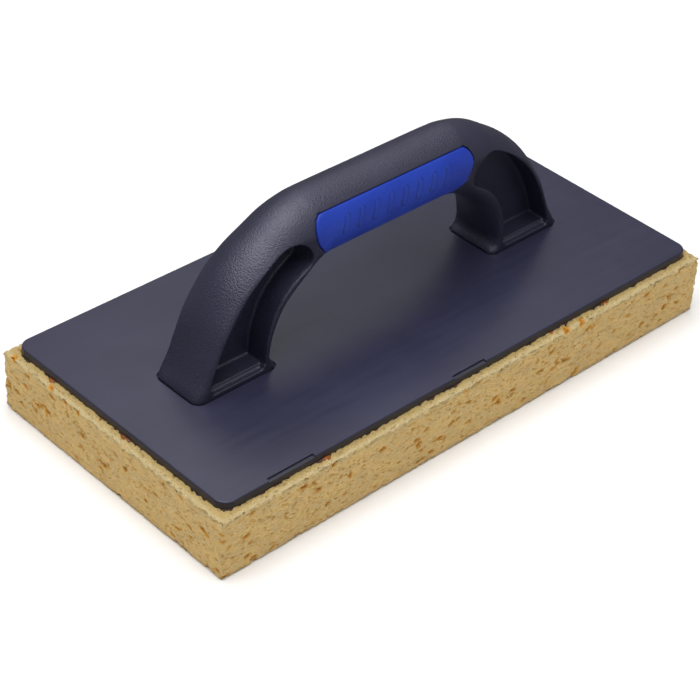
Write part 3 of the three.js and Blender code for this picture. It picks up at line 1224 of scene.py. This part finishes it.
@dataclass(frozen=True)
class GlueFilm:
    """The film of glue, which has squeezed out unevenly round the plate."""

    tuck: float = 0.02
    step: float = 1.0
    least_out: float = 0.15
    most_out: float = 0.95
    rise: float = 0.9
    sag: float = 0.1
    blobs: int = 15
    blob_reach: float = 4.2
    blob_out: float = 1.0
    blob_rise: float = 0.35
    long_side_share: float = 0.66
    slow_wave: float = 9.0
    quick_wave: float = 2.5
    lump_wave: float = 2.2
    taper: float = 0.85
    corner_steps: int = 10
    cuts_up: int = 3
    seed: int = 11

    def spots(self) -> list[Vector]:
        """Places along the edge where the glue came out thickly."""
        chance = random.Random(self.seed)
        half_length, half_width = PLATE_LENGTH / 2, PLATE_WIDTH / 2
        found = []
        for _ in range(self.blobs):
            along = chance.uniform(-half_length, half_length)
            across = chance.uniform(-half_width, half_width)
            if chance.random() < self.long_side_share:
                across = math.copysign(half_width, across)
            else:
                along = math.copysign(half_length, along)
            found.append(Vector((along, across)))
        return found

    def block(self) -> Shape:
        """The even film, in small faces round its rim and with one face above and one below."""
        shape = Bench.sheet(PLATE_LENGTH, PLATE_WIDTH, PAD_TOP, PLATE_BOTTOM)
        Bench.rounded(shape, is_upright, PLATE_CORNER, self.corner_steps)
        for axis, span in enumerate((PLATE_LENGTH, PLATE_WIDTH)):
            Bench.divided(shape, axis, span / 2 * MM, int(span / self.step))
        for level in (PAD_TOP, PLATE_BOTTOM):
            flat_faces = [f for f in shape.faces if abs(f.calc_center_median().z - level * MM) < NEAR * MM]
            bmesh.ops.dissolve_faces(shape, faces=flat_faces)
        lid = max(shape.faces, key=lambda face: face.calc_center_median().z)
        bmesh.ops.inset_region(shape, faces=[lid], thickness=self.tuck * MM, use_even_offset=True)
        uprights = [edge for edge in shape.edges if is_upright(edge)]
        bmesh.ops.subdivide_edges(shape, edges=uprights, cuts=self.cuts_up, use_grid_fill=True)
        return shape

    def outward(self, flat: Vector) -> Vector:
        """The direction away from the plate at a place of its rim."""
        reaches = (PLATE_LENGTH / 2 - PLATE_CORNER, PLATE_WIDTH / 2 - PLATE_CORNER)
        core = Vector([max(-reach, min(reach, value)) for reach, value in zip(reaches, flat)])
        return (flat - core).normalized()

    def amounts(self, flat: Vector, spots: Sequence[Vector]) -> Point:
        """How much glue came out at a place of the rim.

        Args:
            flat: the place in x and y, in millimetres.
            spots: where the glue came out thickly.

        Returns:
            How far the glue creeps from 0 to 1, and how thick it is from 0 up.
        """
        slow = noise.noise(Vector((*flat, 0)) / self.slow_wave) * 0.6
        quick = noise.noise(Vector((*flat, 9)) / self.quick_wave) * 0.4
        blob = max(1 - eased(0.0, self.blob_reach, (flat - spot).length) for spot in spots)
        blob *= 0.55 + 0.9 * max(0.0, noise.noise(Vector((*flat, 4)) / self.lump_wave) + 0.4)
        return eased(-0.45, 0.5, slow + quick), blob

    def build(self) -> None:
        """Makes the film."""
        shape = self.block()
        layer = shape.verts.layers.float.new("blob")
        lid = max(shape.faces, key=lambda face: (len(face.verts), face.calc_center_median().z))
        spots = self.spots()
        thickness = PLATE_BOTTOM - PAD_TOP
        for vert in shape.verts:
            if lid in vert.link_faces:
                continue
            flat = Vector((vert.co.x, vert.co.y)) / MM
            outward = self.outward(flat)
            share, blob = self.amounts(flat, spots)
            out = self.least_out + self.most_out * share + self.blob_out * blob
            climb = self.rise * (0.25 + 0.75 * share) + self.blob_rise * blob
            height = (vert.co.z / MM - PAD_TOP) / thickness
            bulge = out * (1 - self.taper * height**2)
            vert.co.x += outward.x * bulge * MM
            vert.co.y += outward.y * bulge * MM
            vert.co.z = (PAD_TOP - self.sag + height * (climb + thickness)) * MM
            vert[layer] = blob * 0.7 + share * 0.3
        Bench.dressed(Bench.piece("glue_film", shape), ContactGlue().made(), "adhesive_layer", "contact_glue")


@dataclass(frozen=True)
class Pore:
    """One open cell in the foam's surface, in millimetres."""

    place: Vector
    long_axis: Vector
    short_axis: Vector
    long_half: float
    short_half: float
    depth: float


@dataclass(frozen=True)
class SpongePad:
    """The foam pad, with open cells in every face and ragged cut edges."""

    step: float = 0.93
    step_up: float = 0.62
    rim: float = 9.0
    seed: int = 5
    pores_per_area: float = 0.03
    bottom_pores_per_area: float = 0.018
    roundness: float = 1.7
    lean: float = 16.0
    lean_spread: float = 13.0
    # Each pair is the size of the smallest pore, and how much more the largest has.
    long_halves: Point = (0.85, 1.5)
    short_halves: Point = (0.62, 0.5)
    pore_depths: Point = (0.3, 0.75)
    ragged: float = 0.95
    rounding: float = 0.5
    edge_reach: float = 1.6
    swell: float = 0.9
    swell_reach: float = 4.9
    plate_inset: float = 4.0
    fuzz: float = 0.3
    rim_fuzz: float = 0.55
    full_shade_depth: float = 0.95
    coarse_noise: float = 0.45
    fine_noise: float = 1.3
    tear_noise: float = 0.6
    wobble_noise: float = 0.9
    wobble: float = 0.25
    pore_floor: float = 0.35
    pore_rim: float = 1.25

    def block(self) -> Shape:
        """The plain block in small faces, with one face over the part that the plate hides."""
        shape = Bench.sheet(PAD_LENGTH, PAD_WIDTH, 0.0, PAD_TOP)
        spans = ((PAD_LENGTH, self.step), (PAD_WIDTH, self.step), (PAD_TOP, self.step_up))
        for axis, (span, step) in enumerate(spans):
            Bench.divided(shape, axis, span / 2 * MM, round(span / step))
        inner_x, inner_y = (PAD_LENGTH / 2 - self.rim) * MM, (PAD_WIDTH / 2 - self.rim) * MM
        level = (PAD_TOP - OVERLAP) * MM
        hidden = [
            face
            for face in shape.faces
            if all(v.co.z > level and abs(v.co.x) < inner_x and abs(v.co.y) < inner_y for v in face.verts)
        ]
        bmesh.ops.delete(shape, geom=hidden, context="FACES")
        bmesh.ops.edgeloop_fill(shape, edges=[edge for edge in shape.edges if edge.is_boundary])
        return shape

    def pores(self) -> Iterable[Pore]:
        """The open cells, scattered over the sides and then over the working face."""
        chance = random.Random(self.seed)
        along, across, up = Vector((1, 0, 0)), Vector((0, 1, 0)), Vector((0, 0, 1))
        sides = ((across, PAD_WIDTH, along, PAD_LENGTH), (along, PAD_LENGTH, across, PAD_WIDTH))
        faces = [
            (up * (PAD_TOP / 2) + out * (end * deep / 2), run, up, wide, PAD_TOP, True)
            for out, deep, run, wide in sides
            for end in (-1, 1)
        ]
        faces.append((Vector(), along, across, PAD_LENGTH, PAD_WIDTH, False))
        for centre, first, second, wide, high, is_side in faces:
            density = self.pores_per_area if is_side else self.bottom_pores_per_area
            roundness = (1.0 if is_side else self.roundness) ** 0.6
            for _ in range(int(wide * high * density)):
                place = centre + first * chance.uniform(-wide / 2, wide / 2)
                place = place + second * chance.uniform(-high / 2, high / 2)
                degrees = chance.gauss(self.lean, self.lean_spread) if is_side else chance.uniform(-90, 90)
                tilt = math.radians(degrees)
                size = chance.uniform(0.0, 1.0) ** 2.2
                yield Pore(
                    place=place,
                    long_axis=first * math.cos(tilt) + second * math.sin(tilt),
                    short_axis=second * math.cos(tilt) - first * math.sin(tilt),
                    long_half=self.long_halves[0] + self.long_halves[1] * size,
                    short_half=(self.short_halves[0] + self.short_halves[1] * size)
                    * roundness
                    * chance.uniform(0.85, 1.2),
                    depth=self.pore_depths[0] + self.pore_depths[1] * size + chance.uniform(0.0, 0.3),
                )

    def sink(self, shape: Shape) -> list[float]:
        """How deep each point of a shape lies in a pore, in millimetres."""
        tree = KDTree(len(shape.verts))
        for vert in shape.verts:
            tree.insert(vert.co / MM, vert.index)
        tree.balance()
        depths = [0.0] * len(shape.verts)
        for pore in self.pores():
            for place, index, _ in tree.find_range(pore.place, pore.long_half * 1.3):
                away = place - pore.place
                lengthwise = away.dot(pore.long_axis) / pore.long_half
                crosswise = away.dot(pore.short_axis) / pore.short_half
                wobble = 1 + self.wobble * noise.noise(place * self.wobble_noise)
                reach = math.hypot(lengthwise, crosswise) * wobble
                share = 1 - eased(self.pore_floor, self.pore_rim, reach)
                depths[index] = max(depths[index], share * pore.depth)
        return depths

    def inward(self, place: Vector, depth: float) -> float:
        """How far the surface lies below the plain block.

        Args:
            place: a point of the plain block, in millimetres.
            depth: how deep it lies in a pore.

        Returns:
            The distance in millimetres, which is below 0 where the foam stands out.
        """
        x_gap, y_gap = PAD_LENGTH / 2 - abs(place.x), PAD_WIDTH / 2 - abs(place.y)
        inset = min(x_gap, y_gap)
        on_top = place.z > PAD_TOP - OVERLAP
        if on_top and inset > self.swell_reach:
            return 0.0
        swell = self.swell * eased(1.0, self.plate_inset, inset) if on_top else 0.0
        edge = 1 - eased(0.0, self.edge_reach, sorted((x_gap, y_gap, place.z, PAD_TOP - place.z))[1])
        coarse = noise.noise(place * self.coarse_noise)
        fine = noise.noise(place * self.fine_noise + Vector((7, 3, 1)))
        near_top = eased(PAD_TOP - 2.5, PAD_TOP - 0.5, place.z)
        rough = (self.fuzz + (self.rim_fuzz - self.fuzz) * near_top) * (coarse + 0.8 * fine)
        tears = max(0.0, noise.noise(place * self.tear_noise + Vector((2, 9, 4))))
        return depth + edge * (self.rounding + self.ragged * tears) - rough - swell

    def build(self) -> None:
        """Makes the pad."""
        shape = self.block()
        shape.verts.index_update()
        shape.verts.ensure_lookup_table()
        shape.normal_update()
        layer = shape.verts.layers.float.new("pore")
        moves = []
        for vert, depth in zip(shape.verts, self.sink(shape)):
            moves.append(vert.normal * (-self.inward(vert.co / MM, depth) * MM))
            # The pore depth, which the foam's finish turns into painted shade.
            vert[layer] = min(1.0, depth / self.full_shade_depth)
        for vert, move in zip(shape.verts, moves):
            vert.co += move
        pad = Bench.piece("foam_pad", shape)
        Bench.dressed(pad, CellFoam().made(), "sponge_pad", "foam")


@dataclass(frozen=True)
class Screws:
    """The four screws, which keep their own CAD meshes."""

    def dress(self) -> None:
        """Gives each screw its plated finish."""
        steel = ZincSteel().made()
        for side in ("left", "right"):
            for end in ("outer", "inner"):
                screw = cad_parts[f"screw_{side}_{end}"]
                screw.data.materials.clear()
                screw.data.materials.append(steel)
                LOG.info("%s: plated", screw.name)


@dataclass(frozen=True)
class SoftBox:
    """A square lamp that faces the float, with its sizes in metres."""

    name: str
    towards: Triple
    away: float
    size: float
    glow: float

    def build(self) -> None:
        """Hangs the lamp, whose glow is the brightness of its face."""
        lamp = bpy.data.lights.new(self.name, "AREA")
        lamp.shape = "SQUARE"
        lamp.size = self.size
        lamp.energy = self.glow * math.pi * self.size**2
        box = bpy.data.objects.new(self.name, lamp)
        towards = Vector(self.towards).normalized()
        box.location = towards * self.away
        box.rotation_euler = towards.to_track_quat("Z", "Y").to_euler()
        bpy.context.scene.collection.objects.link(box)


@dataclass(frozen=True)
class Studio:
    """A white floor, an even surround, soft boxes and the camera."""

    floor_size: float = 8.0
    floor_drop: float = 0.3
    surround: float = 0.17
    boxes: tuple[SoftBox, ...] = (
        SoftBox("overhead_box", (-0.2, -0.02, 0.97), 1.6, 1.6, 3.95),
        SoftBox("back_box", (0.42, 0.47, 0.77), 1.6, 0.7, 1.75),
        SoftBox("front_fill", (0.15, -0.78, 0.6), 1.8, 0.9, 1.35),
    )
    azimuth: float = -44.867
    elevation: float = 37.02
    roll: float = 3.287
    distance: float = 917.27
    target: Triple = (-15.84, -7.71, 15.0)
    lens: float = 110.3
    sensor: float = 36.0

    def floor(self) -> None:
        """Lays the paper that the float stands on."""
        shape = bmesh.new()
        bmesh.ops.create_grid(shape, x_segments=1, y_segments=1, size=self.floor_size / 2)
        bmesh.ops.translate(shape, verts=shape.verts, vec=(0.0, 0.0, -self.floor_drop * MM))
        mesh = bpy.data.meshes.new("paper")
        shape.to_mesh(mesh)
        shape.free()
        mesh.materials.append(StudioPaper().made())
        paper = bpy.data.objects.new("paper", mesh)
        bpy.context.scene.collection.objects.link(paper)
        paper.visible_glossy = False

    def lights(self) -> None:
        """Sets the even surround and the soft boxes."""
        scene = bpy.context.scene
        world = bpy.data.worlds.new("surround")
        world.use_nodes = True
        backdrop = world.node_tree.nodes["Background"]
        backdrop.inputs["Color"].default_value = (1.0, 1.0, 1.0, 1.0)
        backdrop.inputs["Strength"].default_value = self.surround
        scene.world = world
        for box in self.boxes:
            box.build()
        scene.view_settings.view_transform = "Standard"

    def camera(self) -> None:
        """Sets the camera that looks down on the float from its left end."""
        turn, lift, lean = (math.radians(a) for a in (self.azimuth, self.elevation, self.roll))
        back = Vector((math.sin(turn) * math.cos(lift), -math.cos(turn) * math.cos(lift), math.sin(lift)))
        right = Vector((math.cos(turn), math.sin(turn), 0.0))
        up = back.cross(right)
        leant_right = right * math.cos(lean) + up * math.sin(lean)
        leant_up = up * math.cos(lean) - right * math.sin(lean)
        lens = bpy.data.cameras.new("camera")
        lens.lens = self.lens
        lens.sensor_width = self.sensor
        lens.clip_start = 0.05
        lens.clip_end = 50.0
        camera = bpy.data.objects.new("camera", lens)
        turned = Matrix((leant_right, leant_up, back)).transposed().to_4x4()
        middle = Vector(self.target) * MM + back * (self.distance * MM)
        camera.matrix_world = Matrix.Translation(middle) @ turned
        bpy.context.scene.collection.objects.link(camera)
        bpy.context.scene.camera = camera

    def build(self) -> None:
        """Makes the whole studio."""
        self.camera()
        self.floor()
        self.lights()


def main() -> None:
    """Builds the float from the floor up."""
    logging.basicConfig(level=logging.INFO, format="%(message)s")
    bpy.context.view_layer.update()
    Studio().build()
    bow = Bow()
    zone = GripZone()
    SpongePad().build()
    GlueFilm().build()
    BasePlate().build()
    Handle(bow, zone).build()
    SoftGrip(bow, zone).build()
    Screws().dress()


if __name__ == "__main__":
    main()
